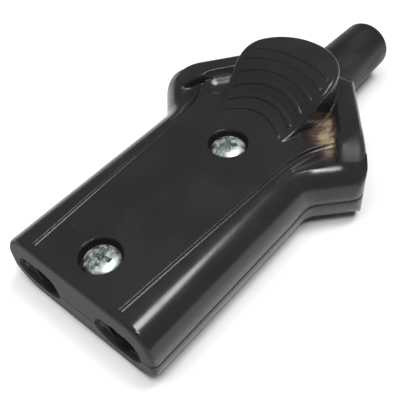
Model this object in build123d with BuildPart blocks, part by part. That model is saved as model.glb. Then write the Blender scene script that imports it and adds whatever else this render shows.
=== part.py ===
from build123d import *
import os

# Rewirable two-pole appliance connector: two moulded shells closed by two screws
# hold a pair of round-pin sockets, a cord clamp and a rubber bend-protection sleeve.
# Sizes are in millimetres. Lengths run back from the mating face and heights from the
# seam between the shells; the origin is under the middle of the connector, on its base.

# Overall sizes
body_length = 73.5
sleeve_reach = 20.5
body_width = 36.6
upper_height = 7.25
lower_depth = 7.25

# Plan of the body: straight flanks, wings that flare out, and a tapering rear
waist_y = 43.2
wing_reach = 7.3
wing_tip_y = 50.9
rear_half_width = 7.8
front_corner_radius = 1.5
waist_radius = 4.0
wing_tip_radius = 3.0
rear_corner_radius = 2.4
front_draft = 4.0

# Section of the flanks, the roundings at front and rear, and the deck between the wings
shoulder_radius = 6.0
front_edge_radius = 1.0
rear_roll_radius = 6.0
base_roll_radius = 3.0
wing_lift_x = 17.0
wing_lift_angle = 18.0
deck_front_half_width = 10.0
deck_half_width = 21.0
deck_full_y = 61.0
seam_gap = 0.3

# Crease along each side of the flat top, which dips on its way to the flange
crease_radius = 0.55
crease_depth = 0.4
crease_start_x = 10.7
crease_start_y = 2.2
crease_bend_x = 12.5
crease_bend_y = 40.0
crease_dip_x = 14.7
crease_dip_y = 50.5
crease_dip = 0.35
crease_end_x = 16.9
crease_end_y = 53.9

# Finger flange on each wing, the scoop along its foot and the hollow beside the crease
flange_rise = 1.6
flange_thickness = 5.6
flange_corner_radius = 8.0
flange_edge_radius = 1.8
flange_lip_radius = 1.0
scoop_radius = 5.0
scoop_depth = 1.0
scoop_offset = 8.8
scoop_start = 10.5
hollow_start_x = 13.9
hollow_start_y = 27.0
hollow_start_radius = 0.8
hollow_bend_x = 14.5
hollow_bend_y = 43.0
hollow_bend_radius = 1.2
hollow_bend_depth = 0.5
hollow_end_x = 18.6
hollow_end_y = 51.8
hollow_end_radius = 3.2
hollow_end_depth = 1.5

# Thumb tongue with its grip ridges
tongue_gap = 4.4
tongue_front_half_width = 8.2
tongue_rear_half_width = 13.1
tongue_end_y = 70.4
tongue_end_radius = 10.5
tongue_sink = 0.1
tongue_bend_y = 50.3
tongue_bend_radius = 14.0
tongue_crest_y = 60.3
tongue_crest_rise = 7.4
tongue_crest_radius = 12.0
tongue_end_rise = 6.6
tongue_edge_radius = 0.7
ridge_count = 6
ridge_first_radius = 9.8
ridge_pitch = 2.4
ridge_width = 0.7
ridge_height = 0.25
ridge_margin = 1.6

# Casing screws, their counterbores and nuts
front_screw_y = 7.6
screw_spacing = 34.0
screw_radius = 1.5
screw_end_inset = 0.7
screw_head_radius = 3.45
screw_head_height = 2.4
screw_head_chamfer = 0.8
screw_clearance = 0.1
counterbore_radius = 3.95
counterbore_depth = 2.8
nut_across_flats = 5.5
nut_height = 2.4
nut_clearance = 0.1
nut_pocket_depth = 3.4
thread_clearance = 0.02
recess_radius = 1.6
recess_slot = 0.75
recess_depth = 1.3

# Pin sockets
pin_spacing = 19.0
socket_bore_radius = 3.05
socket_radius = 3.8
socket_front_y = 2.8
socket_bore_length = 17.0
socket_lead_in = 0.4
socket_end_y = 33.5
socket_collar_y = 21.2
socket_collar_length = 2.0
socket_collar_rise = 0.7
socket_slot_width = 0.9
socket_slot_length = 14.5
socket_fit = 0.1
pin_hole_clearance = 0.45
pin_mouth_offset = 0.5
pin_mouth_width = 11.0
pin_mouth_height = 6.8
pin_mouth_depth = 1.2
pin_mouth_taper = 20.0
saddle_length = 2.6
wire_hole_radius = 1.6
wire_hole_length = 8.0

# Spring clips around the slotted sockets
spring_y = 9.0
spring_length = 5.0
spring_thickness = 0.45
spring_gap = 2.0
spring_fit = 0.02
spring_room = 0.3

# Terminal screws
terminal_screw_y = 29.2
terminal_screw_radius = 1.5
terminal_screw_tip = 1.2
terminal_screw_top = 4.4
terminal_slot_width = 0.6
terminal_slot_depth = 0.8

# Wiring chamber
chamber_room = 0.8
terminal_room_y = 26.0
terminal_room_back = 3.5
terminal_room_side = 1.0
chamber_y = 34.5
chamber_side = 0.4
chamber_back = 5.0
chamber_corner_radius = 1.5
clamp_room_front = 4.5
clamp_head_room = 3.0
boss_radius = 5.7

# Cord sleeve
sleeve_neck_radius = 5.25
sleeve_step = 0.95
sleeve_taper = 0.55
sleeve_bore_radius = 3.4
sleeve_grip = 12.0
sleeve_nose_length = 1.6
sleeve_collar_rise = 0.75
sleeve_collar_length = 2.6
sleeve_tip_chamfer = 0.6
sleeve_fit = 0.1

# Cord clamp: a strap over the cord, two screws and their threaded inserts
clamp_setback = 6.0
clamp_screw_x = 6.8
clamp_post_radius = 2.7
clamp_post_top = 0.4
clamp_thickness = 1.2
clamp_width = 6.0
clamp_arch_radius = 3.2
clamp_ear_end = 2.4
clamp_screw_length = 5.5
clamp_head_radius = 2.5
clamp_head_height = 1.8
clamp_head_chamfer = 0.6
insert_radius = 2.0
insert_length = 4.6
insert_fit = 0.02
cord_rest_length = 4.0
cord_rest_half_width = 4.5
cord_rest_drop = 0.5

half_width = body_width / 2
overall_length = body_length + sleeve_reach
wing_tip_x = half_width + wing_reach
pin_x = pin_spacing / 2
pin_hole_radius = socket_bore_radius + pin_hole_clearance
pin_mouth_x = pin_x + pin_mouth_offset
socket_collar_radius = socket_radius + socket_collar_rise
rear_screw_y = front_screw_y + screw_spacing
tongue_front_y = rear_screw_y + tongue_gap
screw_places = [(0, front_screw_y), (0, rear_screw_y)]
front_y = -overall_length / 2
flange_height = upper_height + flange_rise
tongue_top = upper_height + tongue_crest_rise
head_seat = upper_height - counterbore_depth
nut_seat = nut_pocket_depth - lower_depth
screw_length = head_seat - nut_seat + nut_height - screw_end_inset
spring_radius = socket_radius + spring_fit + spring_thickness
spring_room_radius = spring_radius + spring_room
sleeve_radius = sleeve_neck_radius + sleeve_step
sleeve_tip_radius = sleeve_radius - sleeve_taper
sleeve_collar_radius = sleeve_neck_radius + sleeve_collar_rise
sleeve_start_y = body_length - sleeve_grip
sleeve_collar_y = sleeve_start_y + sleeve_nose_length
sleeve_neck_y = sleeve_collar_y + sleeve_collar_length
clamp_y = sleeve_start_y - clamp_setback
clamp_ear_x = clamp_screw_x + clamp_ear_end
clamp_ear_top = clamp_post_top + clamp_thickness
clamp_room_y = clamp_y - clamp_room_front
clamp_room_ceiling = clamp_ear_top + clamp_head_height + clamp_head_room
chamber_ceiling = socket_radius + chamber_room
chamber_half_width = clamp_ear_x + chamber_side
chamber_end_y = clamp_y + chamber_back
terminal_room_end_y = socket_end_y + terminal_room_back
terminal_room_width = 2 * (socket_radius + terminal_room_side)
beyond = 1.0

# Working planes through the centre of the mating face, at the seam
plan = Plane(origin=(0, front_y, lower_depth), x_dir=(1, 0, 0), z_dir=(0, 0, 1))
cross = Plane(origin=(0, front_y, lower_depth), x_dir=(1, 0, 0), z_dir=(0, -1, 0))
inward = Plane(origin=(0, front_y, lower_depth), x_dir=(1, 0, 0), z_dir=(0, 1, 0))
side = Plane(origin=(0, front_y, lower_depth), x_dir=(0, 1, 0), z_dir=(1, 0, 0))


def place(x, y, z):
    """Point given from the mating face and the seam, in the part's own frame."""
    return Vector(x, front_y + y, lower_depth + z)


waist = place(half_width, waist_y, 0)
wing_tip = place(wing_tip_x, wing_tip_y, 0)
wing_end = wing_tip + (wing_tip - waist).normalized() * flange_thickness
wing_run = place(rear_half_width, body_length, 0) - wing_tip
wing_inward = Vector(0, 0, 1).cross(wing_run)
lifted_wing = Plane(origin=place(wing_lift_x, 0, -lower_depth)).rotated((0, -wing_lift_angle, 0))


def mirrored_outline(points, radii):
    """Closed sketch from the right half of an outline, with rounded corners."""
    with BuildSketch() as outline:
        with BuildLine():
            FilletPolyline(*points, radius=radii)
            mirror(about=Plane.YZ)
        make_face()
    return outline.sketch


def body_outline():
    """Plan of the whole body."""
    points = [
        (0, 0),
        (half_width, 0),
        (half_width, waist_y),
        (wing_tip_x, wing_tip_y),
        (rear_half_width, body_length),
        (0, body_length),
    ]
    radii = [front_corner_radius, waist_radius, wing_tip_radius, rear_corner_radius]
    return mirrored_outline(points, radii)


def deck_outline():
    """Plan of the flat deck between the wings, behind the flanks."""
    points = [
        (0, waist_y),
        (deck_front_half_width, waist_y),
        (deck_half_width, deck_full_y),
        (deck_half_width, body_length),
        (0, body_length),
    ]
    return mirrored_outline(points, 0)


def tongue_outline():
    """Plan of the thumb tongue, which widens to a round end."""
    points = [
        (0, tongue_front_y),
        (tongue_front_half_width, tongue_front_y),
        (tongue_rear_half_width, tongue_end_y),
        (0, tongue_end_y),
    ]
    return mirrored_outline(points, [0, tongue_end_radius])


def tongue_profile(lift):
    """Side view of the thumb tongue: it curves up out of the flat top to a crest, then falls a little."""
    back = tongue_end_y + beyond
    foot = upper_height - tongue_sink + lift
    with BuildSketch() as profile:
        with BuildLine():
            top = FilletPolyline(
                (waist_y, foot),
                (tongue_bend_y, foot),
                (tongue_crest_y, tongue_top + lift),
                (back, upper_height + tongue_end_rise + lift),
                radius=[tongue_bend_radius, tongue_crest_radius],
            )
            Polyline(top @ 1, (back, head_seat), (waist_y, head_seat), top @ 0)
        make_face()
    return profile.sketch


def rear_roll(height, radius):
    """Side view that rounds off the rear end of a shell."""
    with BuildSketch() as profile:
        with BuildLine():
            outer = FilletPolyline(
                (-beyond, height),
                (body_length, height),
                (body_length, 0),
                radius=radius,
            )
            Polyline(outer @ 1, (-beyond, 0), outer @ 0)
        make_face()
    return profile.sketch


def leaning_front(way):
    """Moulding draft of the front face, leaning back away from the seam."""
    return inward.rotated((-way * front_draft, 0, 0))


def swept_flank(height):
    """Right flank: a rounded shoulder carried along the side and out over the wing, rounded in front."""
    way = 1 if height > 0 else -1
    with BuildPart() as flank:
        with BuildLine() as path:
            FilletPolyline(place(half_width, 0, 0), waist, wing_end, radius=waist_radius)
        with BuildSketch(cross):
            with BuildLine():
                outer = FilletPolyline(
                    (half_width, 0),
                    (half_width, height),
                    (0, height),
                    radius=shoulder_radius,
                )
                Polyline(outer @ 1, (0, 0), outer @ 0)
            make_face()
        sweep(path=path.line)
        split(bisect_by=leaning_front(way), keep=Keep.TOP)
        front_face = flank.faces().sort_by(Axis.Y)[0]
        fillet(front_face.edges().filter_by(GeomType.LINE, reverse=True), front_edge_radius)
    return flank.part


def wing_flange():
    """Upright finger flange along the right wing's rear edge, rolled down at its tip."""
    run = wing_run.length
    top = flange_height
    with BuildPart() as flange:
        with BuildSketch(Plane(origin=wing_tip, x_dir=wing_run, z_dir=-wing_inward)):
            with BuildLine():
                FilletPolyline((0, 0), (0, top), (run, top), radius=flange_corner_radius)
                Polyline((run, top), (run, 0), (0, 0))
            make_face()
        extrude(amount=-flange_thickness)
        arcs = flange.edges().filter_by(GeomType.CIRCLE).sort_by(Axis(wing_tip, wing_inward))
        outer_arc = arcs[0]
        inner_arc = arcs[-1]
        fillet(inner_arc, flange_lip_radius)
        fillet(outer_arc, flange_edge_radius)
    return flange.part


def shoulder_hollow():
    """Hollow beside the right crease: narrow along the flank, widening over the wing up to the flange."""
    start = place(hollow_start_x, hollow_start_y, upper_height + hollow_start_radius)
    bend = place(hollow_bend_x, hollow_bend_y, upper_height + hollow_bend_radius - hollow_bend_depth)
    end = place(hollow_end_x, hollow_end_y, upper_height + hollow_end_radius - hollow_end_depth)
    along = (Align.CENTER, Align.CENTER, Align.MIN)
    with BuildPart() as hollow:
        with Locations(Plane(origin=start, z_dir=bend - start)):
            Cone(hollow_start_radius, hollow_bend_radius, (bend - start).length, align=along)
        with Locations(Plane(origin=bend, z_dir=end - bend)):
            Sphere(hollow_bend_radius)
            Cone(hollow_bend_radius, hollow_end_radius, (end - bend).length, align=along)
        with Locations(Plane(origin=end, z_dir=end - bend)):
            Cylinder(hollow_end_radius, flange_thickness, align=along)
    return hollow.part


def flange_scoop():
    """Scoop along the foot of the right flange, with a round end towards the wing tip."""
    bottom = wing_tip + wing_run.normalized() * scoop_start + wing_inward.normalized() * scoop_offset
    start = bottom + Vector(0, 0, upper_height - scoop_depth + scoop_radius)
    with BuildPart() as scoop:
        with Locations(Plane(origin=start, z_dir=wing_run)):
            Sphere(scoop_radius)
            Cylinder(scoop_radius, wing_run.length, align=(Align.CENTER, Align.CENTER, Align.MIN))
    return scoop.part


def crease_groove():
    """Narrow groove beside the flat top on the right, from near the front face to the flange."""
    level = upper_height + crease_radius - crease_depth
    dip = place(crease_dip_x, crease_dip_y, level - crease_dip)
    end = place(crease_end_x, crease_end_y, level - crease_dip)
    with BuildPart() as groove:
        with BuildLine(plan.offset(level)) as path:
            run = Line((crease_start_x, crease_start_y), (crease_bend_x, crease_bend_y))
            Spline(run @ 1, dip, end, tangents=[run % 1, (end - dip).normalized()])
        with BuildSketch(Plane(origin=run @ 0, z_dir=run % 0)):
            Circle(crease_radius)
        sweep(path=path.line)
        with Locations(Plane(origin=run @ 0, z_dir=run % 0)):
            Sphere(crease_radius)
    return groove.part


def half_body(height):
    """Right half of a shell, up or down from the seam: the flank and the deck between the wings."""
    with BuildPart() as half:
        add(swept_flank(height))
        with BuildSketch(plan):
            add(deck_outline())
        extrude(amount=height)
    return half.part


def trimmed_half(half, height, rear_radius):
    """Right half of a shell cut to the plan of the body and rounded at the rear."""
    with BuildPart() as trimmed:
        add(half)
        with BuildSketch(plan):
            add(body_outline())
        extrude(amount=height, mode=Mode.INTERSECT)
        with BuildSketch(side):
            add(rear_roll(height, rear_radius))
        extrude(amount=wing_tip_x, mode=Mode.INTERSECT)
    return trimmed.part


def socket_seats():
    """Space for both sockets: wide mouths, pin holes, saddles, spring room and collar grooves."""
    saddle = socket_radius + socket_fit
    collar = socket_collar_radius + socket_fit
    front = socket_front_y - socket_fit
    collar_front = socket_collar_y - socket_fit
    collar_back = socket_collar_y + socket_collar_length + socket_fit
    with BuildPart() as seats:
        with BuildSketch(plan):
            with BuildLine():
                Polyline(
                    (pin_x, -beyond),
                    (pin_x + pin_hole_radius, -beyond),
                    (pin_x + pin_hole_radius, front),
                    (pin_x + saddle, front),
                    (pin_x + saddle, front + saddle_length),
                    (pin_x + spring_room_radius, front + saddle_length),
                    (pin_x + spring_room_radius, collar_front - saddle_length),
                    (pin_x + saddle, collar_front - saddle_length),
                    (pin_x + saddle, collar_front),
                    (pin_x + collar, collar_front),
                    (pin_x + collar, collar_back),
                    (pin_x + saddle, collar_back),
                    (pin_x + saddle, terminal_room_y + beyond),
                    (pin_x, terminal_room_y + beyond),
                    close=True,
                )
            make_face()
        revolve(axis=Axis(place(pin_x, 0, 0), (0, 1, 0)))
        with BuildSketch(inward):
            with Locations((pin_mouth_x, 0)):
                SlotOverall(pin_mouth_width, pin_mouth_height)
        extrude(amount=pin_mouth_depth, taper=pin_mouth_taper)
        mirror(about=Plane.YZ)
    return seats.part


def wiring_chamber(way):
    """Terminal rooms, the common chamber around the rear boss, and the seat of the sleeve."""
    room_length = terminal_room_end_y - terminal_room_y
    room_middle = terminal_room_y + room_length / 2
    chamber_length = chamber_end_y - chamber_y
    neck = sleeve_neck_radius + sleeve_fit
    collar = sleeve_collar_radius + sleeve_fit
    with BuildPart() as chamber:
        with BuildSketch(plan):
            with Locations((-pin_x, room_middle), (pin_x, room_middle)):
                RectangleRounded(terminal_room_width, room_length, chamber_corner_radius)
            with Locations((0, chamber_y + chamber_length / 2)):
                RectangleRounded(2 * chamber_half_width, chamber_length, chamber_corner_radius)
            with Locations((0, rear_screw_y)):
                Circle(boss_radius, mode=Mode.SUBTRACT)
        extrude(amount=way * chamber_ceiling)
        with BuildSketch(plan):
            with BuildLine():
                Polyline(
                    (0, chamber_end_y - beyond),
                    (neck, chamber_end_y - beyond),
                    (neck, sleeve_collar_y - sleeve_fit),
                    (collar, sleeve_collar_y - sleeve_fit),
                    (collar, sleeve_neck_y + sleeve_fit),
                    (neck, sleeve_neck_y + sleeve_fit),
                    (neck, body_length + beyond),
                    (0, body_length + beyond),
                    close=True,
                )
            make_face()
        revolve(axis=Axis(place(0, 0, 0), (0, 1, 0)))
    return chamber.part


# Thumb tongue: its side view across the body, trimmed to its plan
with BuildPart() as tongue:
    with BuildSketch(side):
        add(tongue_profile(0))
    extrude(amount=tongue_rear_half_width, both=True)
    with BuildSketch(plan):
        add(tongue_outline())
    extrude(amount=tongue_top, mode=Mode.INTERSECT)
    crown = tongue.faces().filter_by(lambda face: face.normal_at().Z > 0.5)
    walls = tongue.faces().filter_by(lambda face: abs(face.normal_at().Z) < 0.01)
    side_walls = walls.sort_by(Axis.Y)[1:]
    fillet([edge for edge in crown.edges() if edge in side_walls.edges()], tongue_edge_radius)

# Grip ridges: arcs about the rear screw that stand proud of the tongue
with BuildPart() as grip_ridges:
    with BuildSketch(side):
        add(tongue_profile(ridge_height))
    extrude(amount=tongue_rear_half_width, both=True)
    with BuildSketch(plan):
        with Locations((0, rear_screw_y)):
            for index in reversed(range(ridge_count)):
                radius = ridge_first_radius + index * ridge_pitch
                Circle(radius + ridge_width / 2)
                Circle(radius - ridge_width / 2, mode=Mode.SUBTRACT)
        offset(tongue_outline(), amount=-ridge_margin, mode=Mode.INTERSECT)
    extrude(amount=tongue_top + ridge_height, mode=Mode.INTERSECT)

# Right half of the upper shell: the hollow and crease run up to the flange, the scoop cuts into it
with BuildPart() as upper_half:
    add(half_body(upper_height))
    add(shoulder_hollow(), mode=Mode.SUBTRACT)
    add(crease_groove(), mode=Mode.SUBTRACT)
    add(wing_flange())
    add(flange_scoop(), mode=Mode.SUBTRACT)

# Upper shell: both halves with the tongue, hollowed for what it holds
with BuildPart() as upper_shell:
    add(trimmed_half(upper_half.part, flange_height, rear_roll_radius))
    mirror(about=Plane.YZ)
    add(tongue.part)
    add(grip_ridges.part)
    add(socket_seats(), mode=Mode.SUBTRACT)
    add(wiring_chamber(1), mode=Mode.SUBTRACT)
    with BuildSketch(plan):
        with Locations((0, (clamp_room_y + chamber_end_y) / 2)):
            RectangleRounded(2 * chamber_half_width, chamber_end_y - clamp_room_y, chamber_corner_radius)
    extrude(amount=clamp_room_ceiling, mode=Mode.SUBTRACT)
    with BuildSketch(plan.offset(head_seat)):
        with Locations(*screw_places):
            Circle(counterbore_radius)
    extrude(amount=counterbore_depth + beyond, mode=Mode.SUBTRACT)
    with BuildSketch(plan):
        with Locations(*screw_places):
            Circle(screw_radius + screw_clearance)
    extrude(amount=upper_height, mode=Mode.SUBTRACT)

# Lower shell: the same plan with a flat base that lifts under the wings, nut pockets and the clamp's seat
with BuildPart() as lower_shell:
    add(trimmed_half(half_body(-lower_depth), -lower_depth, base_roll_radius))
    split(bisect_by=lifted_wing, keep=Keep.TOP)
    mirror(about=Plane.YZ)
    with BuildSketch(plan):
        add(body_outline())
        offset(body_outline(), amount=-seam_gap, mode=Mode.SUBTRACT)
    extrude(amount=-seam_gap, mode=Mode.SUBTRACT)
    add(socket_seats(), mode=Mode.SUBTRACT)
    add(wiring_chamber(-1), mode=Mode.SUBTRACT)
    with BuildSketch(plan.offset(-lower_depth)):
        with Locations((0, clamp_y)):
            Rectangle(2 * cord_rest_half_width, cord_rest_length)
    extrude(amount=lower_depth - cord_rest_drop)
    with BuildSketch(plan.offset(-lower_depth)):
        with Locations((-clamp_screw_x, clamp_y), (clamp_screw_x, clamp_y)):
            Circle(clamp_post_radius)
    extrude(amount=lower_depth + clamp_post_top)
    with BuildSketch(cross.offset(-clamp_y)):
        Circle(clamp_arch_radius)
    extrude(amount=clamp_width / 2, both=True, mode=Mode.SUBTRACT)
    with BuildSketch(plan.offset(clamp_post_top)):
        with Locations((-clamp_screw_x, clamp_y), (clamp_screw_x, clamp_y)):
            Circle(insert_radius + insert_fit)
    extrude(amount=-insert_length, mode=Mode.SUBTRACT)
    with BuildSketch(plan.offset(-lower_depth)):
        with Locations(*screw_places):
            RegularPolygon(nut_across_flats / 2 + nut_clearance, 6, major_radius=False)
    extrude(amount=nut_pocket_depth, mode=Mode.SUBTRACT)
    with BuildSketch(plan):
        with Locations(*screw_places):
            Circle(screw_radius + screw_clearance)
    extrude(amount=-lower_depth, mode=Mode.SUBTRACT)


def pan_screw(length, head_radius, head_height, head_chamfer):
    """Pan-head screw standing on its head's seat: shank down, head with a cross recess up."""
    with BuildPart() as screw:
        with BuildSketch(Plane.XZ):
            with BuildLine():
                Polyline(
                    (0, head_height),
                    (0, -length),
                    (screw_radius, -length),
                    (screw_radius, 0),
                    (head_radius, 0),
                    (head_radius, head_height - head_chamfer),
                    (head_radius - head_chamfer, head_height),
                    close=True,
                )
            make_face()
        revolve(axis=Axis.Z)
        with BuildSketch(Plane.XY.offset(head_height)):
            Rectangle(2 * recess_radius, recess_slot)
            Rectangle(recess_slot, 2 * recess_radius)
        extrude(amount=-recess_depth, mode=Mode.SUBTRACT)
    return screw.part


def pin_socket():
    """Slotted pin socket on the right, with its collar and a bored terminal at the rear."""
    with BuildPart() as socket:
        with BuildSketch(plan):
            with BuildLine():
                Polyline(
                    (pin_x, socket_front_y + socket_bore_length),
                    (pin_x + socket_bore_radius, socket_front_y + socket_bore_length),
                    (pin_x + socket_bore_radius, socket_front_y + socket_lead_in),
                    (pin_x + socket_bore_radius + socket_lead_in, socket_front_y),
                    (pin_x + socket_radius, socket_front_y),
                    (pin_x + socket_radius, socket_collar_y),
                    (pin_x + socket_collar_radius, socket_collar_y),
                    (pin_x + socket_collar_radius, socket_collar_y + socket_collar_length),
                    (pin_x + socket_radius, socket_collar_y + socket_collar_length),
                    (pin_x + socket_radius, socket_end_y),
                    (pin_x, socket_end_y),
                    close=True,
                )
            make_face()
        revolve(axis=Axis(place(pin_x, 0, 0), (0, 1, 0)))
        with BuildSketch(cross.offset(-socket_front_y)):
            with Locations((pin_x, 0)):
                Rectangle(2 * socket_radius, socket_slot_width)
                Rectangle(socket_slot_width, 2 * socket_radius)
        extrude(amount=-socket_slot_length, mode=Mode.SUBTRACT)
        with BuildSketch(cross.offset(-socket_end_y)):
            with Locations((pin_x, 0)):
                Circle(wire_hole_radius)
        extrude(amount=wire_hole_length, mode=Mode.SUBTRACT)
        with BuildSketch(plan):
            with Locations((pin_x, terminal_screw_y)):
                Circle(terminal_screw_radius + thread_clearance)
        extrude(amount=socket_radius, mode=Mode.SUBTRACT)
    return socket.part


def socket_spring():
    """Split ring that presses the right socket's fingers together."""
    with BuildPart() as spring:
        with BuildSketch(cross.offset(-spring_y)):
            with Locations((pin_x, 0)):
                Circle(spring_radius)
                Circle(socket_radius + spring_fit, mode=Mode.SUBTRACT)
                gap_place = (Align.CENTER, Align.MAX)
                Rectangle(spring_gap, 2 * spring_radius, align=gap_place, mode=Mode.SUBTRACT)
        extrude(amount=-spring_length)
    return spring.part


def terminal_screw():
    """Headless slotted screw of the right terminal."""
    with BuildPart() as screw:
        with BuildSketch(plan.offset(terminal_screw_tip)):
            with Locations((pin_x, terminal_screw_y)):
                Circle(terminal_screw_radius)
        extrude(amount=terminal_screw_top - terminal_screw_tip)
        with BuildSketch(plan.offset(terminal_screw_top)):
            with Locations((pin_x, terminal_screw_y)):
                Rectangle(2 * terminal_screw_radius, terminal_slot_width)
        extrude(amount=-terminal_slot_depth, mode=Mode.SUBTRACT)
    return screw.part


# Cord sleeve: rubber tube with a collar held between the shells, tapering to its tip
with BuildPart() as cord_sleeve:
    with BuildSketch(plan):
        with BuildLine():
            Polyline(
                (sleeve_bore_radius, sleeve_start_y),
                (sleeve_neck_radius, sleeve_start_y),
                (sleeve_neck_radius, sleeve_collar_y),
                (sleeve_collar_radius, sleeve_collar_y),
                (sleeve_collar_radius, sleeve_neck_y),
                (sleeve_neck_radius, sleeve_neck_y),
                (sleeve_neck_radius, body_length + sleeve_fit),
                (sleeve_radius, body_length + sleeve_fit),
                (sleeve_tip_radius, overall_length),
                (sleeve_bore_radius, overall_length),
                close=True,
            )
        make_face()
    revolve(axis=Axis(place(0, 0, 0), (0, 1, 0)))
    tip_edge = cord_sleeve.edges().group_by(Axis.Y)[-1].sort_by(SortBy.RADIUS)[-1]
    chamfer(tip_edge, sleeve_tip_chamfer)

# Clamp strap: an arch over the cord between two flat ears
with BuildPart() as cord_clamp_strap:
    with BuildSketch(cross.offset(-clamp_y)):
        Circle(clamp_arch_radius + clamp_thickness)
        with Locations((0, clamp_post_top + clamp_thickness / 2)):
            Rectangle(2 * clamp_ear_x, clamp_thickness)
        Circle(clamp_arch_radius, mode=Mode.SUBTRACT)
        with Locations((0, clamp_post_top)):
            Rectangle(2 * clamp_ear_x, clamp_ear_x, align=(Align.CENTER, Align.MAX), mode=Mode.SUBTRACT)
    extrude(amount=clamp_width / 2, both=True)
    with BuildSketch(plan):
        with Locations((-clamp_screw_x, clamp_y), (clamp_screw_x, clamp_y)):
            Circle(screw_radius + screw_clearance)
    extrude(amount=clamp_ear_top, mode=Mode.SUBTRACT)

pieces = {
    "upper_shell": upper_shell.part,
    "lower_shell": lower_shell.part,
    "cord_sleeve": cord_sleeve.part,
    "cord_clamp_strap": cord_clamp_strap.part,
}

# Casing screws and nuts, front and rear
for name, place_y in {"front": front_screw_y, "rear": rear_screw_y}.items():
    with BuildPart() as casing_screw:
        with Locations(place(0, place_y, head_seat)):
            add(pan_screw(screw_length, screw_head_radius, screw_head_height, screw_head_chamfer))
    with BuildPart() as casing_nut:
        with BuildSketch(plan.offset(nut_seat)):
            with Locations((0, place_y)):
                RegularPolygon(nut_across_flats / 2, 6, major_radius=False)
                Circle(screw_radius + thread_clearance, mode=Mode.SUBTRACT)
        extrude(amount=-nut_height)
    pieces[f"{name}_casing_screw"] = casing_screw.part
    pieces[f"{name}_casing_nut"] = casing_nut.part

# Clamp screws and threaded inserts, left and right
for name, way in {"left": -1, "right": 1}.items():
    with BuildPart() as clamp_screw:
        with Locations(place(way * clamp_screw_x, clamp_y, clamp_ear_top)):
            add(pan_screw(clamp_screw_length, clamp_head_radius, clamp_head_height, clamp_head_chamfer))
    with BuildPart() as clamp_insert:
        with BuildSketch(plan.offset(clamp_post_top)):
            with Locations((way * clamp_screw_x, clamp_y)):
                Circle(insert_radius)
                Circle(screw_radius + thread_clearance, mode=Mode.SUBTRACT)
        extrude(amount=-insert_length)
    pieces[f"{name}_clamp_screw"] = clamp_screw.part
    pieces[f"{name}_clamp_insert"] = clamp_insert.part

# Contacts with their springs and terminal screws: one side modelled, the other its mirror image
contact_pieces = {
    "contact": pin_socket(),
    "contact_spring": socket_spring(),
    "terminal_screw": terminal_screw(),
}
for name, piece in contact_pieces.items():
    with BuildPart() as other_side:
        mirror(piece, about=Plane.YZ)
    pieces[f"live_{name}"] = piece
    pieces[f"neutral_{name}"] = other_side.part

os.makedirs("parts", exist_ok=True)
for name, piece in pieces.items():
    piece.label = name
    export_step(piece, f"parts/{name}.step")
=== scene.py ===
import math

import bpy
from mathutils import Matrix, Vector


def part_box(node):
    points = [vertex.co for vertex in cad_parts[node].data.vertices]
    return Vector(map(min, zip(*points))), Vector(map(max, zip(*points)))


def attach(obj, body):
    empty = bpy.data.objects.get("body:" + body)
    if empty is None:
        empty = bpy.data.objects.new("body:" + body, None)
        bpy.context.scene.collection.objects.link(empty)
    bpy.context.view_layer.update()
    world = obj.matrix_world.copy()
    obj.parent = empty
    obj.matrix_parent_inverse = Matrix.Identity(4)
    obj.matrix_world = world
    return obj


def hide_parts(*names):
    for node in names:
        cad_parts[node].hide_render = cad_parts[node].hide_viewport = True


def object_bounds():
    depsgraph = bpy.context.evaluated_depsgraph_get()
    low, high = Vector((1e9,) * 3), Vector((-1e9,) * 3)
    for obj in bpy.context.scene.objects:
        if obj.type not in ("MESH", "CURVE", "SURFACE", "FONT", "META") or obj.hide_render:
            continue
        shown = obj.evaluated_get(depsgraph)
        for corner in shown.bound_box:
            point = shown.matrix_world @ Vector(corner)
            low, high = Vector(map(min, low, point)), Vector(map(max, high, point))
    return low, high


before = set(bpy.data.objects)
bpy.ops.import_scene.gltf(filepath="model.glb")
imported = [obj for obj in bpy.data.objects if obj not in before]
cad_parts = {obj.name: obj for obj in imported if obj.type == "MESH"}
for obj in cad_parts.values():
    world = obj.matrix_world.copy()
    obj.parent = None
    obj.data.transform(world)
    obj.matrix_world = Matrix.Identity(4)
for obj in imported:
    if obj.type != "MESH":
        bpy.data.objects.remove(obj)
CAD_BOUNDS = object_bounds()
MM = 0.001

bl_info = {
    "name": "Appliance Connector Finish",
    "version": (1, 1, 0),
    "blender": (4, 5, 0),
    "location": "View3D > Sidebar > Connector",
    "description": "Finishes the casing, sleeve, fasteners and contacts, and sets the stage",
    "category": "Object",
}

# How often the patterns of wear repeat in a metre.
WEAR = {
    "casing": {"patch_scale": 70.0, "speck_scale": 2600.0, "scratch_scale": 1500.0},
    "rubber": {"patch_scale": 260.0},
    "metal": {"patch_scale": 850.0},
    "fibre": {"patch_scale": 420.0},
}

# How often waves and grain repeat in a metre, and how high the grain is beside the waves.
GRAIN = {
    "casing": {"wave_scale": 110.0, "grain_scale": 1400.0, "grain_share": 0.10},
    "rubber": {"wave_scale": 300.0, "grain_scale": 2600.0, "grain_share": 0.80},
    "metal": {"wave_scale": 1600.0, "grain_scale": 6000.0, "grain_share": 0.40},
    "fibre": {"wave_scale": 500.0, "grain_scale": 2600.0, "grain_share": 0.70},
}

# Depth and strength of each relief, and how far edges are softened.
CASING_RELIEF = {"depth": 0.05 * MM, "strength": 0.5}
METAL_RELIEF = {"radius": 0.08 * MM, "depth": 0.02 * MM, "strength": 0.5}
DULL_RELIEF = {"radius": 0.15 * MM, "depth": 0.03 * MM, "strength": 0.6}

# Reach of the occlusion that finds shaded corners, and how open a place is where the painted shade or brown
# tint is nothing and where it is all.
GROOVES = {"reach": 0.8 * MM, "open": 0.85, "closed": 0.40}
RECESSES = {"reach": 1.0 * MM, "open": 0.75, "closed": 0.25}

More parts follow.
